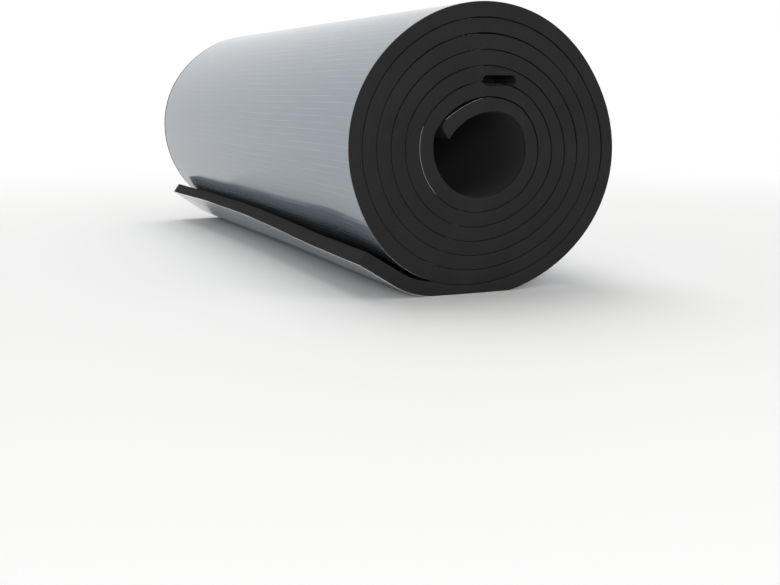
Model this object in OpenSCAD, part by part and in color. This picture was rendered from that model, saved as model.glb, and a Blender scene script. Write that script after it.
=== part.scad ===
// Roll of self-adhesive closed-cell rubber insulation sheet.
// The black foam carries its grey release film on the outer face, and the two are wound up together.
// The soft roll lies on its side, pressed flat underneath, with the outer end of the sheet springing up.

/* [Sheet] */
// Width of the sheet, which is the length of the roll
sheet_width = 1000; // [300:10:1500]
// Thickness of the foam
foam_thickness = 19; // [10:0.5:32]
// Thickness of the release film with its layer of adhesive
film_thickness = 0.3; // [0.2:0.05:1]

/* [Winding] */
// Radius of the bore at the lip, where the sheet begins
lip_radius = 52.4; // [40:0.1:90]
// Place of the lip, counted from the right-hand side as the near end shows it
lip_angle = 155; // [120:1:170]
// Whole turns of the sheet, before the part of a turn that brings it down to the floor
whole_turns = 6; // [4:1:10]
// How loose the turns lie, once they are clear of the bore
slack = 0.7; // [0:0.1:2]

/* [Settling] */
// Height of each turn as a share of its width, because the roll settles under its own weight
settle = 0.946; // [0.9:0.002:1]
// How deep the underside is pressed flat by the floor
flat_depth = 3.4; // [2:0.2:8]
// How far the turns hang below the middle of the bore
drop = 1.6; // [0:0.1:3]
// Height of the three soft corners of a turn
three_corners = 1.6; // [0:0.1:3]
// Place of one of those corners
three_angle = 108; // [90:1:130]
// Height of the four softer corners of a turn
four_corners = 0.7; // [0:0.1:2]
// Place of one of those corners
four_angle = 75; // [60:1:90]
// How far the sides of the last turn are drawn in
side_tuck = 2.8; // [0:0.2:4]

/* [Crown] */
// How far the crown of the innermost turn hangs in
crown_sag = 8.7; // [0:0.1:12]
// Number of turns over which that sag dies away
sag_turns = 5; // [3:0.5:8]
// Place of the middle of the sag
sag_angle = 101; // [80:1:110]
// Angle over which a crown sags
sag_span = 112; // [80:1:140]

/* [Lip] */
// Widest gap between the lip and the turn around it
lip_gap = 3; // [0:0.5:5]
// Share of a turn over which the lip stands away from the turn around it
lip_span = 0.18; // [0.1:0.02:0.3]
// How far the inner corner of the lip's slanting cut is ahead of the outer one, as an angle
lip_slant = 13; // [0:1:16]

/* [Tail] */
// Length of the tail that lies on the floor, past the place where it leaves the roll
tail_lie = 12; // [6:1:100]
// Radius of the bend on the upper face of the tail
tail_bend = 91; // [30:1:120]
// Angle at which the tail stands up from the floor
tail_lift = 36; // [10:1:38]
// Straight length of the tail past its bend
tail_flap = 53; // [20:1:90]

/* [Pocket] */
// Length of the pocket where two turns stand apart at the near end
pocket_length = 46; // [20:1:60]
// Height of the pocket
pocket_height = 12.5; // [6:0.5:14]
// Depth of the pocket, in from the near end
pocket_depth = 55; // [10:1:150]
// Place of the pocket round the roll, counted as the lip's place is
pocket_angle = 76.5; // [60:0.5:100]
// Number of the turn whose outer face runs through the pocket
pocket_turn = 2; // [2:1:3]
// Height of the pocket's middle above that face
pocket_rise = 1; // [0:0.5:5]

/* [Hidden] */

// One turn adds the foam and its film to the radius.
pitch = foam_thickness + film_thickness;
foam_share = foam_thickness / pitch;

// The winding ends at the lowest point of the roll, and all turns are counted from the lip.
degrees_per_point = 5;
point_step = degrees_per_point / 360;
end_turn = whole_turns + (lip_angle + 90) / 360;
end_radius = lip_radius + pitch * (end_turn + 1);
floor_z = flat_depth - settle * end_radius;

// The innermost turns keep the round of the bore, and the last turn is alone in being drawn in.
round_turns = 3;
last_layer = end_turn - 0.3;
last_blend = 0.5;

// Round edges of the pocket
$fn = 48;

// An angle's place before or after another, from -180 to 180
function turned_from(angle, place) = (((angle - place + 180) % 360) + 360) % 360 - 180;

// How far a turn stands out from an even spiral, in soft corners
function corners(layer, angle) =
    min(1, layer / round_turns) * (
        slack
        - drop * sin(angle)
        + three_corners * cos(3 * (angle - three_angle))
        + four_corners * cos(4 * (angle - four_angle))
    );

// How far a crown hangs in towards the bore
function sag(layer, angle) =
    let (away = turned_from(angle, sag_angle) / sag_span)
    abs(away) < 0.5 ? crown_sag * max(0, 1 - layer / sag_turns) * cos(180 * away) : 0;

// How far the sides of the last turn are drawn in
function tuck(layer, angle) =
    side_tuck * pow(cos(angle), 2) * max(0, min(1, (layer - last_layer) / last_blend));

// How far the outer face of the lip stands away from the turn around it
function lip_inset(turn) = turn > 0 && turn < lip_span ? lip_gap * sin(180 * turn / lip_span) : 0;

// A point of the sheet after so many turns.
// Share 0 is the inner face of the foam, and share 1 is the outer face of the film.
function sheet_point(turn, share) =
    let (angle = lip_angle - 360 * turn)
    let (layer = turn + share)
    let (even = lip_radius + pitch * layer)
    let (drawn_in = sag(layer, angle) + tuck(layer, angle) + share * lip_inset(turn))
    let (radius = even + corners(layer, angle) - drawn_in)
    [radius * cos(angle), settle * radius * sin(angle)];

// The lip is cut at a slant, which swings about a point three quarters of the way to its outer face.
function lip_start(share) = lip_slant * (share - 0.75) / 360;

// The turns at which a face of the sheet has its points
function face_turns(share, turns) =
    concat(lip_start(share), [for (turn = [point_step : point_step : turns]) turn]);

// One face of the sheet from the lip to the last point that is clear of a level.
// That level is what stops the face from going lower, and the face meets it in one more point.
function wound_face(share, level) =
    let (down = [for (turn = face_turns(share, end_turn)) sheet_point(turn, share)])
    let (clear = [for (point = down) if (point.y > level) point])
    let (stopped = [for (point = down) if (point.y <= level) point])
    concat(clear, [for (i = [0 : 1 : min(0, len(stopped) - 1)]) [stopped[i].x, level]]);

// The inner face of the foam follows the turn above it past the lowest point,
// until there is room below for the full thickness of the sheet.
tail_top = floor_z + pitch;
under_roll = [
    for (turn = face_turns(0, end_turn + 0.25))
        let (point = sheet_point(turn, 0))
        if (turn <= end_turn || point.y < tail_top) point
];
tail_foot = under_roll[len(under_roll) - 1].x - tail_lie;

// One face of the tail, at a depth below its upper face: the end of its lie, its bend and its straight flap.
function tail_face(depth) =
    let (radius = tail_bend + depth)
    let (heel = [tail_foot, floor_z + pitch + tail_bend])
    let (bend = [for (lift = [0 : tail_lift / 8 : tail_lift]) heel - radius * [sin(lift), cos(lift)]])
    let (flap = tail_flap * [-cos(tail_lift), sin(tail_lift)])
    concat(bend, [bend[len(bend) - 1] + flap]);

function reversed(points) = [for (i = [len(points) - 1 : -1 : 0]) points[i]];

// The three faces of the sheet, each from the lip to the cut end of the tail
foam_inner = concat(under_roll, tail_face(0));
foam_outer = concat(wound_face(foam_share, floor_z + film_thickness), tail_face(foam_thickness));
film_outer = concat(wound_face(1, floor_z), tail_face(pitch));

across = [for (point = film_outer) point.x];
middle_x = (min(across) + max(across)) / 2;

// The section of the roll stands on the floor, and the sheet's width runs along Y.
module across_width() {
    translate([-middle_x, 0, -floor_z]) rotate([90, 0, 0])
        linear_extrude(height = sheet_width, center = true) children();
}

// The blind pocket opens on the near end and lies level across the turn's outer face.
module pocket() {
    place = sheet_point(pocket_turn - 1 + (lip_angle - pocket_angle) / 360, 1) + [0, pocket_rise];
    straight = pocket_length - pocket_height;
    overcut = 1;
    translate([place.x - middle_x, pocket_depth - sheet_width / 2, place.y - floor_z]) rotate([90, 0, 0])
        linear_extrude(height = pocket_depth + overcut) {
            square([straight, pocket_height], center = true);
            for (side = [-1, 1]) translate([side * straight / 2, 0]) circle(d = pocket_height);
        }
}

module foam_sheet() {
    color("#2b2b2d") difference() {
        across_width() polygon(concat(foam_inner, reversed(foam_outer)));
        pocket();
    }
}

module release_film() {
    color("#aab4c0") difference() {
        across_width() polygon(concat(foam_outer, reversed(film_outer)));
        pocket();
    }
}

foam_sheet();
release_film();
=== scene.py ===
import math

import bpy
from mathutils import Matrix, Vector


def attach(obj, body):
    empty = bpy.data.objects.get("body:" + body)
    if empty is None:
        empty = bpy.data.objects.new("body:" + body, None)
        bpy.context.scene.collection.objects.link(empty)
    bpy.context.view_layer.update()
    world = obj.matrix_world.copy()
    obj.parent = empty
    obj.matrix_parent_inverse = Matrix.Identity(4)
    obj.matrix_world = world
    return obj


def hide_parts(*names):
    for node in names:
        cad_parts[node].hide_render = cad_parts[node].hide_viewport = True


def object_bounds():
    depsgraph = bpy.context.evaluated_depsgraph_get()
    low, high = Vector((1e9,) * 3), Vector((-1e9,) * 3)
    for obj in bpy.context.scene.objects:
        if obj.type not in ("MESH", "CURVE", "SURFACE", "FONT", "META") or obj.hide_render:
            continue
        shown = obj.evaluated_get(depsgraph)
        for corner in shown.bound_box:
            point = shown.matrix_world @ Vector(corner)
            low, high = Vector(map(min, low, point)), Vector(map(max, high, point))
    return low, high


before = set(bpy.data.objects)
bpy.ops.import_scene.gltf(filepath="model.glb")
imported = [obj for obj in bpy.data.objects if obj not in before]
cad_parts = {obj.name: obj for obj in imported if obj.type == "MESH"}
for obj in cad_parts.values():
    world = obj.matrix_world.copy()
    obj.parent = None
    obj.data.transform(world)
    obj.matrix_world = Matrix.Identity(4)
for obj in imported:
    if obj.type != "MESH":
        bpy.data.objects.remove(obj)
cadLow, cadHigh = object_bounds()  # the CAD box, before anything is dressed
mm = 0.001
tiny = 1.0e-6
fullTurn = 2 * math.pi
sheetWidth = (cadHigh.y - cadLow.y) / mm
halfWidth = sheetWidth / 2

# how the sheet is wound, in mm, degrees and turns counted from the lip in the bore
winding = {
    "foamThickness": 19.0,
    "filmThickness": 0.3,
    "lipRadius": 52.4,
    "lipAngle": 155.0,
    "wholeTurns": 6,
    "settle": 0.946,  # height of a turn against its width
    "flatDepth": 3.4,  # how deep the underside is pressed flat
    "slack": 0.7,  # the turns lie a little loose
    "waves": ((1, 1.6, 267.0), (3, 1.6, 108.4), (4, 0.7, 75.0)),  # number round a turn, height, crest
    "roundTurns": 3.0,  # the innermost turns keep the round of the bore
    "crownSag": 10.0,  # the inner crowns hang down beside the lip
    "sagTurns": 6.0,
    "sagAngle": 104.0,
    "sagSpan": 120.0,
    "boreShift": 2.2,  # the bore lies off the middle of the turns
    "lipGap": 3.0,
    "lipSpan": 0.18,
    "rimTuck": 2.8,  # the last turn is drawn in at its sides
    "tuckFrom": 6.4,
    "tuckTo": 6.9,
    "rimSwell": 1.2,  # and is thicker, with nothing around it
    "swellOver": 0.27,
    "looseFrom": 4.5,  # the lean, the heel and the hollow grow from here outwards
    "looseOver": 2.3,
    "lean": 1.4,  # the outer crowns lean to the right
    "leanAngle": 94.0,
    "leanSpan": 80.0,
    "leanStep": 0.42,  # share of that span from its middle to the rise and to the fall
    "heelBulge": 6.5,  # the last turn hangs loose above the tail, near the first end only
    "heelAngle": 238.0,
    "heelSpan": 88.0,
    "heelFade": 200.0,
    "heelLead": 0.4,  # share of that fade by which it begins ahead of the end
    "hollow": 4.4,  # past that end the side above the tail is drawn in
    "hollowAngle": 224.0,
    "hollowSpan": 90.0,
    "hollowTo": 0.2,  # share of half the width from which it dies away to the far end
}

# the air between the turns, in mm, degrees, turns and shares of the widest slit
air = {
    "slit": 1.5,
    "least": 0.4,
    "from": 0.08,
    "lastTurn": 0.55,  # the last turn lies closer
    "lastFrom": 1.2,
    "lastTo": 0.9,
    "pressAngle": 225.0,  # where the weight closes the slits
    "pressSpan": 300.0,
    "press": 0.92,
    "drawnIn": 0.35,  # the inner turns lie this much further in
}

# the loose end of the sheet: it lies flat to its foot, bends up and ends in a straight flap
tail = {
    "footNear": 65.0,
    "footFar": 55.0,
    "footAir": 0.2,  # left free below the roll
    "bend": 90.7,
    "liftNear": 32.0,
    "liftMiddle": 39.5,
    "middleAt": 0.15,  # share of half the width where the middle's lift is reached
    "farFrom": 0.5,  # and from here the flap droops again
    "farDroop": 4.5,
    "farReach": 0.05,  # and is cut a little longer at the far end
    "length": 182.0,
}

# how far the sheet strays from the rule, in mm and degrees, and the scales of the noise that does it
uneven = {
    "seed": 3.0,
    "wander": 0.35,
    "wanderScale": 9.0,
    "wanderAcross": 0.6,
    "slitScale": 11.0,
    "slitAcross": 0.3,
    "slitFrom": 0.3,
    "slitTo": 0.7,
    "tailRipple": 3.0,
    "rippleScale": 6.0,
    "endWander": 0.9,
    "endScale": 2.3,
    "endAround": 0.7,
    "endPower": 60.0,  # the higher, the closer to the two ends it stays
}

pitch = winding["foamThickness"] + winding["filmThickness"]
foamShare = winding["foamThickness"] / pitch
endTurn = winding["wholeTurns"] + (winding["lipAngle"] + 90) / 360
endRadius = winding["lipRadius"] + pitch * (endTurn + 1)
lipRound = fullTurn * winding["lipRadius"]  # once round the bore
woundLength = fullTurn * (winding["lipRadius"] * endTurn + pitch * endTurn ** 2 / 2) * mm
floorDrop = winding["settle"] * endRadius - winding["flatDepth"]  # from the winding's middle to the floor
print("frame loaded, roll", round(sheetWidth), "mm long, its middle", round(floorDrop, 1), "mm up")


def feed(tree, socket, value):
    # a flow is linked to the socket, and a plain number is set
    if isinstance(value, Flow):
        tree.links.new(value.socket, socket)
    else:
        socket.default_value = value


class Flow:
    # a number that flows through a node tree, so that a rule can be written as plain sums
    def __init__(self, tree, socket):
        self.tree = tree
        self.socket = socket

    def calc(self, operation, *values):
        node = self.tree.nodes.new("ShaderNodeMath")
        node.operation = operation
        for socket, value in zip(node.inputs, values):
            feed(self.tree, socket, value)
        return Flow(self.tree, node.outputs[0])

    def __add__(self, other):
        return self.calc("ADD", self, other)

    def __sub__(self, other):
        return self.calc("SUBTRACT", self, other)

    def __rsub__(self, other):
        return self.calc("SUBTRACT", other, self)

    def __mul__(self, other):
        return self.calc("MULTIPLY", self, other)

    def __truediv__(self, other):
        return self.calc("DIVIDE", self, other)

    def __neg__(self):
        return self.calc("MULTIPLY", self, -1.0)

    def power(self, other):
        return self.calc("POWER", self, other)

    def sine(self):
        return self.calc("SINE", self)

    def cosine(self):
        return self.calc("COSINE", self)

    def arcSine(self):
        return self.calc("ARCSINE", self)

    def size(self):
        return self.calc("ABSOLUTE", self)

    def floor(self):
        return self.calc("FLOOR", self)

    def atLeast(self, other):
        return self.calc("MAXIMUM", self, other)

    def atMost(self, other):
        return self.calc("MINIMUM", self, other)

    def below(self, other):
        return self.calc("LESS_THAN", self, other)

    def wrap(self, low, high):
        return self.calc("WRAP", self, high, low)

    def smooth(self, low, high):
        # 0 up to low, 1 from high on
        node = self.tree.nodes.new("ShaderNodeMapRange")
        node.interpolation_type = "SMOOTHSTEP"
        for name, value in (("Value", self), ("From Min", low), ("From Max", high)):
            feed(self.tree, node.inputs[name], value)
        return Flow(self.tree, node.outputs["Result"])

    def swell(self, centre, span):
        # one soft swelling of an angle, 1 at the centre and 0 from half a span away
        place = ((self - centre).wrap(-math.pi, math.pi) / span).size().atMost(0.5)
        return (place * fullTurn).cosine() * 0.5 + 0.5

    def hump(self, centre, span):
        # one rounder hump of an angle, 1 at the centre and 0 half a span away
        place = (self - centre).wrap(-math.pi, math.pi) / span
        return (place * math.pi).cosine() * place.size().below(0.5)


def vectorOf(tree, *values):
    node = tree.nodes.new("ShaderNodeCombineXYZ")
    for socket, value in zip(node.inputs, values):
        feed(tree, socket, value)
    return node.outputs[0]


def noiseOf(tree, vector, scale, detail=1.5, seed=None):
    # smooth noise from 0 to 1
    node = tree.nodes.new("ShaderNodeTexNoise")
    node.inputs["Scale"].default_value = scale
    node.inputs["Detail"].default_value = detail
    tree.links.new(vector, node.inputs["Vector"])
    if seed is not None:
        node.noise_dimensions = "4D"
        tree.links.new(seed.socket, node.inputs["W"])
    return Flow(tree, node.outputs[0])


# The flat sheet has its turn along X, its place across the width along Y and its depth share along Z,
# from 0 on the inner face of the foam to 1 on the outer face of the film.
# The tree below winds it up. Past the end turn, X counts metres along the tail.
windInputs = {
    "Lip Radius": winding["lipRadius"] * mm,
    "Lip Angle": math.radians(winding["lipAngle"]),
    "Pitch": pitch * mm,
    "End Turn": endTurn,
    "Settle": winding["settle"],
    "Slack": winding["slack"] * mm,
    "Crown Sag": winding["crownSag"] * mm,
    "Sag Turns": winding["sagTurns"],
    "Sag Angle": math.radians(winding["sagAngle"]),
    "Sag Span": math.radians(winding["sagSpan"]),
    "Bore Shift": winding["boreShift"] * mm,
    "Lip Gap": winding["lipGap"] * mm,
    "Lip Span": winding["lipSpan"],
    "Rim Tuck": winding["rimTuck"] * mm,
    "Rim Swell": winding["rimSwell"] * mm,
    "Lean": winding["lean"] * mm,
    "Lean Angle": math.radians(winding["leanAngle"]),
    "Lean Span": math.radians(winding["leanSpan"]),
    "Heel Bulge": winding["heelBulge"] * mm,
    "Heel Angle": math.radians(winding["heelAngle"]),
    "Heel Span": math.radians(winding["heelSpan"]),
    "Heel Fade": winding["heelFade"] * mm,
    "Hollow": winding["hollow"] * mm,
    "Hollow Angle": math.radians(winding["hollowAngle"]),
    "Hollow Span": math.radians(winding["hollowSpan"]),
    "Floor Drop": floorDrop * mm,
    "Air": air["slit"] * mm,
    "Press Angle": math.radians(air["pressAngle"]),
    "Press Span": math.radians(air["pressSpan"]),
    "Width": sheetWidth * mm,
    "Foot Near": tail["footNear"] * mm,
    "Foot Far": tail["footFar"] * mm,
    "Foot Air": tail["footAir"] * mm,
    "Tail Bend": tail["bend"] * mm,
    "Lift Near": math.radians(tail["liftNear"]),
    "Lift Middle": math.radians(tail["liftMiddle"]),
    "Far Droop": math.radians(tail["farDroop"]),
    "Far Reach": tail["farReach"],
    "Wander": uneven["wander"] * mm,
    "End Wander": uneven["endWander"] * mm,
    "Seed": uneven["seed"],
}
for number, height, crest in winding["waves"]:
    windInputs["Wave %d" % number] = height * mm
    windInputs["Crest %d" % number] = math.radians(crest)


def flatPlace(tree, given):
    # where a point lies on the flat sheet
    position = tree.nodes.new("GeometryNodeInputPosition")
    apart = tree.nodes.new("ShaderNodeSeparateXYZ")
    tree.links.new(position.outputs[0], apart.inputs[0])
    along, across, share = (Flow(tree, socket) for socket in apart.outputs)
    turn = along.atMost(given["End Turn"])
    return {
        "turn": turn,
        "out": (along - given["End Turn"]).atLeast(0.0),  # metres along the tail
        "across": across,
        "share": share,
        "half": given["Width"] * 0.5,
        "unrolled": (given["Lip Radius"] * turn + given["Pitch"] * turn * turn * 0.5) * fullTurn,
    }


def woundPoint(given, flat, turn, share):
    # an even spiral, then what the soft roll makes of it
    across, half = flat["across"], flat["half"]
    angle = given["Lip Angle"] - turn * fullTurn
    layer = turn + share
    bulge = given["Slack"]
    for number, _, _ in winding["waves"]:
        wave = ((angle - given["Crest %d" % number]) * float(number)).cosine()
        bulge = bulge + wave * given["Wave %d" % number]
    bulge = bulge * (layer / winding["roundTurns"]).atMost(1.0)
    sag = angle.hump(given["Sag Angle"], given["Sag Span"])
    sag = sag * (1.0 - layer / given["Sag Turns"]).atLeast(0.0)
    lip = (turn * math.pi / given["Lip Span"]).sine().atLeast(0.0)
    lip = lip * turn.below(given["Lip Span"]) * share
    shift = angle.cosine() * (1.0 - layer).atLeast(0.0) * given["Bore Shift"]
    tuck = angle.cosine().power(2.0) * layer.smooth(winding["tuckFrom"], winding["tuckTo"])
    swell = layer.smooth(given["End Turn"], given["End Turn"] + winding["swellOver"])
    outer = ((layer - winding["looseFrom"]) / winding["looseOver"]).atLeast(0.0).power(2.0)
    leanStep = given["Lean Span"] * winding["leanStep"]
    lean = angle.swell(given["Lean Angle"] - leanStep, given["Lean Span"])
    lean = (lean - angle.swell(given["Lean Angle"] + leanStep, given["Lean Span"])) * outer
    past = across.smooth(-half - given["Heel Fade"] * winding["heelLead"], given["Heel Fade"] - half)
    heel = angle.swell(given["Heel Angle"], given["Heel Span"]) * outer * (1.0 - past)
    hollow = angle.swell(given["Hollow Angle"], given["Hollow Span"]) * outer * past
    hollow = hollow * (1.0 - across.smooth(half * winding["hollowTo"], half))
    radius = given["Lip Radius"] + given["Pitch"] * layer + bulge
    radius = radius - sag * given["Crown Sag"] - lip * given["Lip Gap"] + shift
    radius = radius + swell * given["Rim Swell"] + lean * given["Lean"]
    radius = radius - tuck * given["Rim Tuck"] + heel * given["Heel Bulge"] - hollow * given["Hollow"]
    return angle, radius, angle.sine() * radius * given["Settle"]


def woundPlace(tree, given, flat):
    # a point of the winding with its slits, pressed flat by the floor
    turn, across, share, unrolled = flat["turn"], flat["across"], flat["share"], flat["unrolled"]
    angle, radius, _ = woundPoint(given, flat, turn, share)
    spot = vectorOf(tree, unrolled + flat["out"], across * uneven["wanderAcross"])
    wander = noiseOf(tree, spot, uneven["wanderScale"], seed=given["Seed"]) - 0.5
    wander = wander * given["Wander"] * 2.0
    spot = vectorOf(tree, unrolled, across * uneven["slitAcross"])
    width = noiseOf(tree, spot, uneven["slitScale"], seed=given["Seed"])
    width = width.smooth(uneven["slitFrom"], uneven["slitTo"]) * (1.0 - air["least"]) + air["least"]
    pressed = 1.0 - angle.swell(given["Press Angle"], given["Press Span"]) * air["press"]
    inner = 1.0 - turn.smooth(given["End Turn"] - air["lastFrom"], given["End Turn"] - air["lastTo"])
    slit = width * pressed * given["Air"] * (1.0 - share).atLeast(0.0)
    slit = slit * (inner * (1.0 - air["lastTurn"]) + air["lastTurn"]) * (air["from"] - turn).below(0.0)
    slit = slit - pressed * inner * given["Air"] * air["drawnIn"]
    radius = radius + wander * pressed + slit
    _, _, outerZ = woundPoint(given, flat, turn, turn * 0.0 + 1.0)
    lifted = (-given["Floor Drop"] - outerZ).atLeast(0.0) * share
    return radius * angle.cosine(), radius * angle.sine() * given["Settle"] + lifted


def tailPlace(tree, given, flat):
    # flat on the floor to its foot, round the bend and straight up the flap
    out, across, share, half = flat["out"], flat["across"], flat["share"], flat["half"]
    middle = across.smooth(-half, half * tail["middleAt"])
    far = across.smooth(half * tail["farFrom"], half)
    ripple = noiseOf(tree, vectorOf(tree, across), uneven["rippleScale"], seed=given["Seed"]) - 0.5
    foot = given["Foot Near"] + (given["Foot Far"] - given["Foot Near"]) * middle
    lift = given["Lift Near"] + (given["Lift Middle"] - given["Lift Near"]) * middle
    lift = lift + ripple * math.radians(uneven["tailRipple"]) - far * given["Far Droop"]
    bendOuter = given["Tail Bend"] + given["Pitch"]
    bent = ((out - foot) / bendOuter).atLeast(0.0).atMost(lift)
    flap = (out - foot - lift * bendOuter).atLeast(0.0) * (far * given["Far Reach"] + 1.0)
    reach = given["Tail Bend"] + share * given["Pitch"]
    heelZ = bendOuter - given["Floor Drop"]
    x = -(out.atMost(foot) + bent.sine() * reach + flap * bent.cosine())
    z = heelZ - bent.cosine() * reach + flap * bent.sine()
    # below the roll it is squeezed to the room that is left there
    topZ = heelZ - bent.cosine() * given["Tail Bend"] + flap * bent.sine()
    rollRadius = given["Lip Radius"] + given["Pitch"] * given["End Turn"]
    under = (out / rollRadius).atMost(0.95).arcSine() / fullTurn
    _, _, underZ = woundPoint(given, flat, given["End Turn"] + under, share * 0.0)
    z = z - (topZ - underZ + given["Foot Air"]).atLeast(0.0) * (1.0 - share)
    return x, z


def endPlace(tree, given, flat):
    # across the width, with the turns standing out a little unevenly at both ends
    across = flat["across"]
    side = across / (across.size() + tiny)
    spot = vectorOf(tree, flat["turn"] * uneven["endAround"], side)
    stray = (noiseOf(tree, spot, uneven["endScale"], seed=given["Seed"]) - 0.5) * 2.0
    atEnds = (across / flat["half"]).size().power(uneven["endPower"])
    return across + stray * given["End Wander"] * atEnds


def windUpTree():
    tree = bpy.data.node_groups.new("windUp", "GeometryNodeTree")
    face = tree.interface
    face.new_socket("Sheet", in_out="INPUT", socket_type="NodeSocketGeometry")
    for name in windInputs:
        face.new_socket(name, in_out="INPUT", socket_type="NodeSocketFloat")
    face.new_socket("Material", in_out="INPUT", socket_type="NodeSocketMaterial")
    face.new_socket("Roll", in_out="OUTPUT", socket_type="NodeSocketGeometry")
    entry = tree.nodes.new("NodeGroupInput")
    leave = tree.nodes.new("NodeGroupOutput")
    given = {name: Flow(tree, entry.outputs[name]) for name in windInputs}

    flat = flatPlace(tree, given)
    woundX, woundZ = woundPlace(tree, given, flat)
    tailX, tailZ = tailPlace(tree, given, flat)
    onTail = (flat["out"] / tiny).atMost(1.0)
    x = woundX + (tailX - woundX) * onTail
    y = endPlace(tree, given, flat)
    z = woundZ + (tailZ - woundZ) * onTail + given["Floor Drop"]

    store = tree.nodes.new("GeometryNodeStoreNamedAttribute")
    store.data_type = "FLOAT2"
    store.domain = "CORNER"
    store.inputs["Name"].default_value = "sheetUV"
    sheetUV = vectorOf(tree, flat["unrolled"] + flat["out"], flat["across"] + flat["half"])
    tree.links.new(entry.outputs["Sheet"], store.inputs["Geometry"])
    tree.links.new(sheetUV, store.inputs["Value"])
    move = tree.nodes.new("GeometryNodeSetPosition")
    tree.links.new(store.outputs[0], move.inputs["Geometry"])
    tree.links.new(vectorOf(tree, x, y, z), move.inputs["Position"])
    realize = tree.nodes.new("GeometryNodeRealizeInstances")
    tree.links.new(move.outputs[0], realize.inputs[0])
    paint = tree.nodes.new("GeometryNodeSetMaterial")
    tree.links.new(realize.outputs[0], paint.inputs["Geometry"])
    tree.links.new(entry.outputs["Material"], paint.inputs["Material"])
    tree.links.new(paint.outputs[0], leave.inputs[0])
    return tree


# the lip is cut at a slant, and its outer corner is rubbed round, in turns and shares of the depth
lipCut = {"slant": 0.038, "pivot": 0.74, "fade": 0.08, "corner": 0.021, "cornerShare": 0.72}


def lipSlant(station, share):
    return lipCut["slant"] * (share - lipCut["pivot"]) * max(0.0, 1 - station / lipCut["fade"])


def newObject(name, data):
    piece = bpy.data.objects.new(name, data)
    bpy.context.scene.collection.objects.link(piece)
    return piece


def skinFaces(rings, count):
    # faces between neighbouring rings of so many points
    faces = []
    for i in range(rings - 1):
        for j in range(count):
            k = (j + 1) % count
            faces.append((i * count + j, (i + 1) * count + j, (i + 1) * count + k, i * count + k))
    return faces


def flatSheet(name, stations, outlineAt):
    # rows of outline points, skinned and capped; an outline runs across one face and back on the other
    count = len(outlineAt(stations[0]))
    verts = []
    for station in stations:
        for across, share in outlineAt(station):
            verts.append((station + lipSlant(station, share), across * mm, share))
    faces = skinFaces(len(stations), count)
    last = (len(stations) - 1) * count
    for j in range(count // 2 - 1):
        k = count - 1 - j
        faces.append((j, j + 1, k - 1, k))
        faces.append((last + k, last + k - 1, last + j + 1, last + j))
    mesh = bpy.data.meshes.new(name)
    mesh.from_pydata(verts, [], faces)
    mesh.validate()
    return newObject(name, mesh)


def settled(piece):
    # makes what the modifiers give the piece's own mesh
    graph = bpy.context.evaluated_depsgraph_get()
    mesh = bpy.data.meshes.new_from_object(piece.evaluated_get(graph))
    piece.modifiers.clear()
    old = piece.data
    piece.data = mesh
    bpy.data.meshes.remove(old)
    mesh.name = piece.name
    return mesh


def windUp(piece, tree, material):
    modifier = piece.modifiers.new("windUp", "NODES")
    modifier.node_group = tree
    values = dict(windInputs, Material=material)
    for socket in tree.interface.items_tree:
        if socket.name in values:
            modifier[socket.identifier] = values[socket.name]
    mesh = settled(piece)
    print(piece.name, "wound up,", len(mesh.polygons), "faces")


def newMaterial(name):
    material = bpy.data.materials.new(name)
    material.use_nodes = True
    tree = material.node_tree
    return material, tree, tree.nodes["Principled BSDF"]


def sheetPlace(tree):
    # place on the unrolled sheet, in metres from the lip and from the near end
    uvMap = tree.nodes.new("ShaderNodeUVMap")
    uvMap.uv_map = "sheetUV"
    apart = tree.nodes.new("ShaderNodeSeparateXYZ")
    tree.links.new(uvMap.outputs[0], apart.inputs[0])
    return Flow(tree, apart.outputs[0]), Flow(tree, apart.outputs[1])


boreEnd = (0.385, 0.395)  # metres from the lip to the end of the turn that lines the bore


def liningBore(around):
    return 1.0 - around.smooth(*boreEnd)


def mixColours(tree, factor, first, second):
    # each is a colour or what another node gives
    node = tree.nodes.new("ShaderNodeMix")
    node.data_type = "RGBA"
    tree.links.new(factor.socket, node.inputs["Factor"])
    for name, colour in (("A", first), ("B", second)):
        if isinstance(colour, tuple):
            node.inputs[name].default_value = colour
        else:
            tree.links.new(colour, node.inputs[name])
    return node.outputs["Result"]


def bumpUp(tree, shader, height, strength, depth):
    bump = tree.nodes.new("ShaderNodeBump")
    bump.inputs["Strength"].default_value = strength
    bump.inputs["Distance"].default_value = depth
    tree.links.new(height, bump.inputs["Height"])
    tree.links.new(bump.outputs["Normal"], shader.inputs["Normal"])


# film and foam share their stations round the roll and their rows across it, so they lie face to face
sheetGrid = {
    "perTurn": 120,
    "perOuterTurn": 240,
    "outerFrom": endTurn - 0.945,
    "first": 0.024,  # turns from the lip
    "tailStep": 3.5,
    "tailClose": 8.0,  # from here to the cut the stations crowd together
    "closeTo": (0, 0.15, 0.4, 0.8, 1.8, 3.2, 4.7, 6.2),  # mm from a cut end
    "rowStep": 30.0,
    "rowsFrom": 16.0,  # mm from an end
}


def spread(low, high, step):
    # even numbers from low to high, no further apart than step
    count = max(1, math.ceil((high - low) / step))
    return [low + (high - low) * i / count for i in range(count + 1)]


def turnSteps(low, high, perTurn):
    # whole steps of a turn, from low up to high
    return [i / perTurn for i in range(math.ceil(low * perTurn), math.ceil(high * perTurn))]


outerFrom = sheetGrid["outerFrom"]
turnStations = turnSteps(sheetGrid["first"], outerFrom, sheetGrid["perTurn"])
turnStations += turnSteps(outerFrom, endTurn, sheetGrid["perOuterTurn"])
tailPlaces = spread(0, tail["length"] - sheetGrid["tailClose"], sheetGrid["tailStep"])
tailPlaces += [tail["length"] - d for d in reversed(sheetGrid["closeTo"])]
rowEnd = halfWidth - sheetGrid["rowsFrom"]
sheetRows = spread(-rowEnd, rowEnd, sheetGrid["rowStep"])
windTree = windUpTree()

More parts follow.
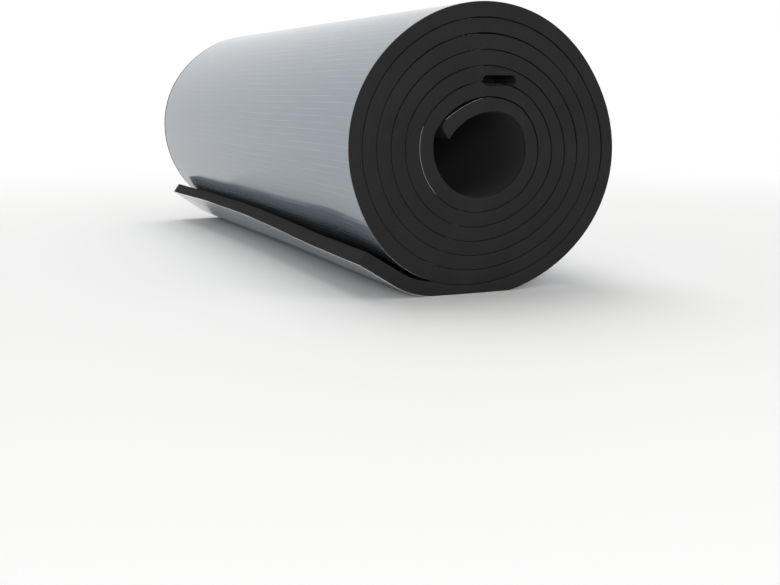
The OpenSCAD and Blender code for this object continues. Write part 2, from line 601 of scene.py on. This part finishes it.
# release film: it hugs the foam's outer face, and its near edge lies in between the turns, in mm and turns
filmCut = {
    "recess": 9.0,
    "rimInset": 1.5,
    "farInset": 8.0,
    "nearRows": (0, 1.2, 4),  # rows of points beside the two edges
    "farRows": (2, 0),
    "proud": 0.15,  # by which the edge stands out where it shows
    "shownFrom": 30.0,  # it shows along the tail
    "shownTo": 60.0,
    "flush": ((0.02, 0.17), (0.82, 0.98)),  # and on these stretches of the first turn
    "blend": 0.03,
    "tailProud": 1.2,
}

# grey and glossy, with fine creases along the roll, a painted highlight along the edge where it shows and
# painted shade on the film in the gap behind the lip, in mm where nothing else is said
filmLook = {
    "colour": (0.202, 0.235, 0.270, 1),
    "shine": (0.91, 0.98, 1.0, 1),
    "crease": (0.30, 0.32, 0.35, 1),
    # the edge colour is a painted highlight along the film's edge
    "edge": (0.72, 0.73, 0.74, 1),
    "paintedGapShade": (0.03, 0.03, 0.035, 1),  # painted shade on the film in the gap behind the lip
    "roughness": 0.11,
    "density": 1.72,
    "creaseStep": 8.6,  # round the roll
    "creaseWidth": 0.09,  # share of that step
    "creaseDrift": 0.8,  # and how many steps a crease strays
    "driftScale": (5.0, 3.0),
    "breakScale": (7.31, 8.0),
    "breakFrom": 0.33,
    "breakTo": 0.65,
    "fade": 0.8,  # how much weaker the creases are at the far end
    "fadeFrom": 250.0,
    "fadeTo": 950.0,
    "edgeHighlightFrom": 0.48,
    "edgeHighlightTo": 1.2,
    "lipEdgeHighlight": 0.06,  # how strong that painted highlight is in the bore
    "cutFrom": 2.6,  # ahead of the end of the tail
    "cutTo": 1.8,
    "paintedGapShadeFrom": 0.8,
    "paintedGapShadeTo": 1.6,
    "bump": 0.4,
    "bumpDepth": 0.4,
    "ripple": 0.8,
    "rippleScale": (60.0, 16.0),
}


def filmNoise(tree, around, across, scale):
    # noise on the unrolled film, with a scale for each way
    return noiseOf(tree, vectorOf(tree, around * scale[0], across * scale[1]), 1.0, 2.0)


def filmMaterial():
    material, tree, shader = newMaterial("greyReleaseFilm")
    shader.inputs["Roughness"].default_value = filmLook["roughness"]
    shader.inputs["IOR"].default_value = filmLook["density"]
    shader.inputs["Specular Tint"].default_value = filmLook["shine"]
    around, across = sheetPlace(tree)

    drift = filmNoise(tree, around, across, filmLook["driftScale"]) - 0.5
    step = around / (filmLook["creaseStep"] * mm) + drift * filmLook["creaseDrift"]
    line = step.floor()
    ridge = 1.0 - (step - line - 0.5).size().smooth(0.0, filmLook["creaseWidth"])
    broken = filmNoise(tree, line, across, filmLook["breakScale"])
    broken = broken.smooth(filmLook["breakFrom"], filmLook["breakTo"])
    near = 1.0 - across.smooth(filmLook["fadeFrom"] * mm, filmLook["fadeTo"] * mm) * filmLook["fade"]
    crease = ridge * broken * near

    bore = liningBore(around)
    onTail = around.smooth(woundLength + filmCut["shownFrom"] * mm, woundLength + filmCut["shownTo"] * mm)
    # painted highlight: a pale band along the film's edge where it shows on the tail, faintly in the bore,
    # and at the tail's cut
    edge = 1.0 - across.smooth(filmLook["edgeHighlightFrom"] * mm, filmLook["edgeHighlightTo"] * mm)
    edge = edge * (onTail + bore * filmLook["lipEdgeHighlight"])
    cut = woundLength + tail["length"] * mm
    edge = edge.atLeast(around.smooth(cut - filmLook["cutFrom"] * mm, cut - filmLook["cutTo"] * mm))
    # painted shade: the film in the gap behind the lip is painted near black
    paintedGapShade = bore * across.smooth(filmLook["paintedGapShadeFrom"] * mm, filmLook["paintedGapShadeTo"] * mm)

    colour = mixColours(tree, crease, filmLook["colour"], filmLook["crease"])
    colour = mixColours(tree, paintedGapShade, colour, filmLook["paintedGapShade"])
    colour = mixColours(tree, edge, colour, filmLook["edge"])
    tree.links.new(colour, shader.inputs["Base Color"])
    ripple = filmNoise(tree, around, across, filmLook["rippleScale"]) * filmLook["ripple"]
    bumpUp(tree, shader, (crease + ripple).socket, filmLook["bump"], filmLook["bumpDepth"] * mm)
    return material


def ramp(value, low, high):
    place = min(1.0, max(0.0, (value - low) / (high - low)))
    return place * place * (3 - 2 * place)


def filmOutline(station):
    blend = filmCut["blend"]
    rim = ramp(station, outerFrom, outerFrom + blend)
    shown = ramp((station - endTurn) / mm, filmCut["shownFrom"], filmCut["shownTo"])
    for low, high in filmCut["flush"]:
        shown = max(shown, ramp(station, low - blend, low) * (1 - ramp(station, high, high + blend)))
    inset = filmCut["recess"] + (filmCut["rimInset"] - filmCut["recess"]) * rim
    near = -halfWidth + inset - shown * (inset + filmCut["proud"])
    far = halfWidth - filmCut["farInset"]
    rows = [near + d for d in filmCut["nearRows"]] + sheetRows + [far - d for d in filmCut["farRows"]]
    return [(y, 1.0) for y in rows] + [(y, foamShare) for y in reversed(rows)]


filmTail = tailPlaces + [tail["length"] + filmCut["tailProud"]]
film = flatSheet("releaseFilm", turnStations + [endTurn + out * mm for out in filmTail], filmOutline)
windUp(film, windTree, filmMaterial())

# foam sheet: a wound slab with softened edges, in mm, degrees and turns
foamCut = {
    "edge": 0.8,
    "edgeAngles": (0, 30, 60),
    "corner": 6.0,  # of the tail's cut, at the near end
    "lipStations": (0.007, 0.011, 0.016, 0.021),
}

# black closed-cell foam with a fine grain, painted paler where it lines the bore: painted light that lifts
# the shade in the bore
foamLook = {
    "colour": (0.0116, 0.0108, 0.0112, 1),
    "pale": (0.0165, 0.0154, 0.0159, 1),
    "darkTo": 0.35,
    "paleFrom": 0.65,
    # painted light: a paler colour that lifts the shade in the bore
    "paintedBoreLight": (0.031, 0.0285, 0.0292, 1),
    "paintedBoreLightLip": 4.0,  # mm from the lip
    "paintedBoreLightFrom": 1.0,  # mm from both ends
    "paintedBoreLightTo": 6.0,
    "roughness": 0.8,
    "shine": 0.16,
    "grainScale": 320.0,
    "grainPart": 0.45,
    "blotchScale": 14.0,
    "cellScale": 900.0,
    "bump": 0.25,
    "bumpDepth": 0.6,  # mm
}


def foamMaterial():
    material, tree, shader = newMaterial("blackFoam")
    links = tree.links
    shader.inputs["Roughness"].default_value = foamLook["roughness"]
    shader.inputs["Specular IOR Level"].default_value = foamLook["shine"]
    place = tree.nodes.new("ShaderNodeTexCoord").outputs["Object"]
    grain = noiseOf(tree, place, foamLook["grainScale"], 4.0) * foamLook["grainPart"]
    blotch = noiseOf(tree, place, foamLook["blotchScale"], 3.0) * (1.0 - foamLook["grainPart"])
    tint = tree.nodes.new("ShaderNodeValToRGB")
    dark, pale = tint.color_ramp.elements
    dark.position = foamLook["darkTo"]
    dark.color = foamLook["colour"]
    pale.position = foamLook["paleFrom"]
    pale.color = foamLook["pale"]
    links.new((grain + blotch).socket, tint.inputs["Fac"])

    around, across = sheetPlace(tree)
    fromEnd = across.atMost(sheetWidth * mm - across)
    # painted light: the foam lining the bore is painted paler to lift its shade
    inBore = around.smooth(0.0, foamLook["paintedBoreLightLip"] * mm) * liningBore(around)
    inBore = inBore * fromEnd.smooth(foamLook["paintedBoreLightFrom"] * mm, foamLook["paintedBoreLightTo"] * mm)
    colour = mixColours(tree, inBore, tint.outputs["Color"], foamLook["paintedBoreLight"])
    links.new(colour, shader.inputs["Base Color"])
    cells = tree.nodes.new("ShaderNodeTexVoronoi")
    cells.inputs["Scale"].default_value = foamLook["cellScale"]
    links.new(place, cells.inputs["Vector"])
    bumpUp(tree, shader, cells.outputs["Distance"], foamLook["bump"], foamLook["bumpDepth"] * mm)
    return material


def edgeInset(distance, edge):
    # how far a rounded edge lies in at a distance from the cut
    short = edge - min(edge, max(0.0, distance))
    return edge - math.sqrt(edge * edge - short * short)


def foamOutline(station):
    edge = foamCut["edge"]
    lift = edge / pitch
    toEnd = tail["length"] - max(0.0, station - endTurn) / mm
    near = -halfWidth + edgeInset(toEnd, foamCut["corner"])
    far = halfWidth
    inset = max(edgeInset(station * lipRound, edge), edgeInset(toEnd, edge)) / pitch
    rubbed = max(0.0, 1 - station / lipCut["corner"])
    low = inset
    high = foamShare - (1 - lipCut["cornerShare"]) * (1 - math.sqrt(1 - rubbed * rubbed)) - inset
    rows = [near + edge, near + 2 * edge] + sheetRows + [far - 2 * edge, far - edge]
    angles = [math.radians(a) for a in foamCut["edgeAngles"]]
    turned = [(1 - math.cos(a), 1 - math.sin(a)) for a in angles]
    up = [(near + a * edge, high - b * lift) for a, b in turned] + [(y, high) for y in rows]
    up += [(far - a * edge, high - b * lift) for a, b in reversed(turned)]
    down = [(far - a * edge, low + b * lift) for a, b in turned] + [(y, low) for y in reversed(rows)]
    down += [(near + a * edge, low + b * lift) for a, b in reversed(turned)]
    return up + down


foamStations = [d / lipRound for d in sheetGrid["closeTo"] if d <= foamCut["edge"]]
foamStations += list(foamCut["lipStations"]) + turnStations + [endTurn + out * mm for out in tailPlaces]
foam = flatSheet("foamSheet", foamStations, foamOutline)
windUp(foam, windTree, foamMaterial())

# the pocket at the near end, where two turns stand apart: its mouth is rubbed down below the turn line
pocket = {
    "left": -2.0,  # from the middle of the winding
    "right": 46.0,
    "top": 91.7,
    "line": 81.5,
    "mouth": 78.0,
    "mouthStraight": 1.0,
    "mouthDepth": 7.0,
    "depth": 55.0,
    "overcut": 5.0,
}


def pocketRing(low, depth, steps=8):
    # a slot with round sides, so deep in from the near end
    radius = (pocket["top"] - low) / 2
    middle = (pocket["top"] + low) / 2
    y = depth - halfWidth
    points = []
    for x, start in ((pocket["right"] - radius, -90), (pocket["left"] + radius, 90)):
        for i in range(steps + 1):
            turned = math.radians(start + 180 * i / steps)
            z = middle + radius * math.sin(turned) + floorDrop
            points.append(((x + radius * math.cos(turned)) * mm, y * mm, z * mm))
    return points


def cutPocket(piece):
    rings = [
        pocketRing(pocket["mouth"], -pocket["overcut"]),
        pocketRing(pocket["mouth"], pocket["mouthStraight"]),
        pocketRing(pocket["line"], pocket["mouthDepth"]),
        pocketRing(pocket["line"], pocket["depth"]),
    ]
    count = len(rings[0])
    last = (len(rings) - 1) * count
    caps = [tuple(range(count)), tuple(reversed(range(last, last + count)))]
    mesh = bpy.data.meshes.new("pocketCutter")
    mesh.from_pydata([point for ring in rings for point in ring], [], caps + skinFaces(len(rings), count))
    mesh.materials.append(piece.data.materials[0])
    cutter = newObject("pocketCutter", mesh)
    cut = piece.modifiers.new("pocket", "BOOLEAN")
    cut.operation = "DIFFERENCE"
    cut.solver = "EXACT"
    cut.object = cutter
    settled(piece)
    bpy.data.objects.remove(cutter)
    bpy.data.meshes.remove(mesh)


cutPocket(foam)
cutPocket(film)
print("pocket cut,", len(foam.data.polygons), "faces of foam and", len(film.data.polygons), "of film")

# the roll's right side stands on the right side of the CAD box, and the swell of its rim past it
middleX = cadHigh.x - max(vertex.co.x for vertex in film.data.vertices) + winding["rimSwell"] * mm
sharpFrom = math.radians(38)
for piece, node, slot in ((foam, "foam_sheet", "foam"), (film, "release_film", "film")):
    piece.data.transform(Matrix.Translation((middleX, 0, 0)))
    piece.data.shade_smooth()
    piece.data.set_sharp_from_angle(angle=sharpFrom)
    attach(piece, "root")
    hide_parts(node)
print("both pieces in place")

# plain pale floor that fades to the white background, in metres
floorLook = {
    "radius": 9.0,
    "corners": 96,
    "colour": (0.92, 0.92, 0.91, 1),
    "roughness": 0.7,
    "fadeFrom": 0.55,
    "fadeTo": 2.1,
}


def paleFloor():
    corners, radius = floorLook["corners"], floorLook["radius"]
    bpy.ops.mesh.primitive_circle_add(vertices=corners, radius=radius, fill_type="NGON")
    floor = bpy.context.object
    floor.name = "floor"
    material, tree, shader = newMaterial("paleFloor")
    links = tree.links
    shader.inputs["Base Color"].default_value = floorLook["colour"]
    shader.inputs["Roughness"].default_value = floorLook["roughness"]
    place = tree.nodes.new("ShaderNodeTexCoord")
    far = tree.nodes.new("ShaderNodeVectorMath")
    far.operation = "LENGTH"
    links.new(place.outputs["Object"], far.inputs[0])
    fade = Flow(tree, far.outputs["Value"]).smooth(floorLook["fadeFrom"], floorLook["fadeTo"])
    white = tree.nodes.new("ShaderNodeEmission")
    mix = tree.nodes.new("ShaderNodeMixShader")
    links.new(fade.socket, mix.inputs["Fac"])
    links.new(shader.outputs[0], mix.inputs[1])
    links.new(white.outputs[0], mix.inputs[2])
    links.new(mix.outputs[0], tree.nodes["Material Output"].inputs["Surface"])
    floor.data.materials.append(material)


# white surroundings for the camera and for reflections, softer as light
worldLook = {"shown": 1.0, "light": 0.5}


def whiteWorld():
    world = bpy.data.worlds.new("whiteRoom")
    bpy.context.scene.world = world
    world.use_nodes = True
    tree = world.node_tree
    rays = tree.nodes.new("ShaderNodeLightPath")
    seen = Flow(tree, rays.outputs["Is Camera Ray"])
    for name in ("Is Glossy Ray", "Is Transmission Ray"):
        seen = seen.atLeast(Flow(tree, rays.outputs[name]))
    strength = seen * (worldLook["shown"] - worldLook["light"]) + worldLook["light"]
    background = tree.nodes["Background"]
    background.inputs["Color"].default_value = (1, 1, 1, 1)
    tree.links.new(strength.socket, background.inputs["Strength"])


# soft round lamps, in metres and watts
lamps = {
    "keyLamp": {"place": (1.5, -2.6, 2.6), "target": (0, 0, 0.15), "size": 1.8, "watts": 10},
    "frontLamp": {"place": (-1.2, -3.5, 0.7), "target": (0, 0, 0.19), "size": 1.0, "watts": 48},
    "topLamp": {"place": (0, 1.1, 3.4), "target": (0, 0.4, 0), "size": 3.0, "watts": 58},
}


def softLamp(name, place, target, size, watts):
    light = bpy.data.lights.new(name, "AREA")
    light.shape = "DISK"
    light.size = size
    light.energy = watts
    lamp = newObject(name, light)
    lamp.location = place
    lamp.rotation_euler = (Vector(target) - Vector(place)).to_track_quat("-Z", "Y").to_euler()


# the photograph's camera, in mm and degrees from the middle of the winding on the near end
view = {
    "right": -688.6,
    "back": 1268.5,
    "up": 73.2,
    "turn": 23.78,
    "down": 10.22,
    "lens": 51.84,
    "sensor": 36.0,
}


def photoCamera():
    data = bpy.data.cameras.new("photoCamera")
    data.sensor_width = view["sensor"]
    data.lens = view["lens"]
    camera = newObject("photoCamera", data)
    camera.location = Vector((view["right"], -halfWidth - view["back"], view["up"] + floorDrop)) * mm
    camera.location.x += middleX
    camera.rotation_euler = (math.radians(90 - view["down"]), 0, math.radians(-view["turn"]))
    bpy.context.scene.camera = camera


paleFloor()
whiteWorld()
for name, lamp in lamps.items():
    softLamp(name, **lamp)
photoCamera()
bpy.context.scene.view_settings.view_transform = "Standard"
print("floor, light and camera set")
